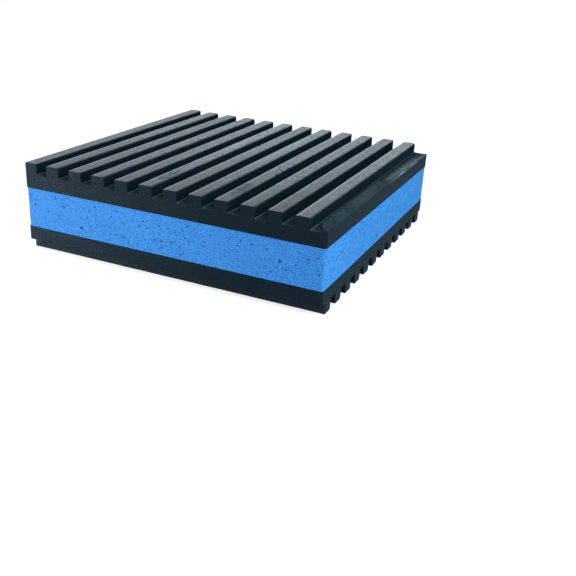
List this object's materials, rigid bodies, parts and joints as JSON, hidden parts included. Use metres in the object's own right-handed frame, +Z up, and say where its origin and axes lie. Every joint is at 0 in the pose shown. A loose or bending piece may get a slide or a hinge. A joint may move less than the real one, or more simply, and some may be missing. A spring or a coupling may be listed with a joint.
{
  "type": "anti-vibration machine pad",
  "caption": "Square anti-vibration pad with a soft blue foam core bonded between ribbed black rubber sheets, their ribs crossing at right angles, to stand under a machine foot.",
  "frame": {"origin": "under the middle of the pad, on the surface it stands on", "axes": "+Z up through the layers, +X along the front from left to right and across the upper ribs, +Y from front to back along the upper ribs"},
  "size_m": [0.0762, 0.0762, 0.0215],
  "materials": {
    "rubber": "matt black moulded rubber with a fine sandy grain",
    "foam": "bright blue closed-cell foam, cut open, with fine cells and small pores"
  },
  "bodies": {
    "root": {"top_ribbed_sheet": "rubber", "foam_core": "foam", "bottom_ribbed_sheet": "rubber"}
  },
  "joints": []
}
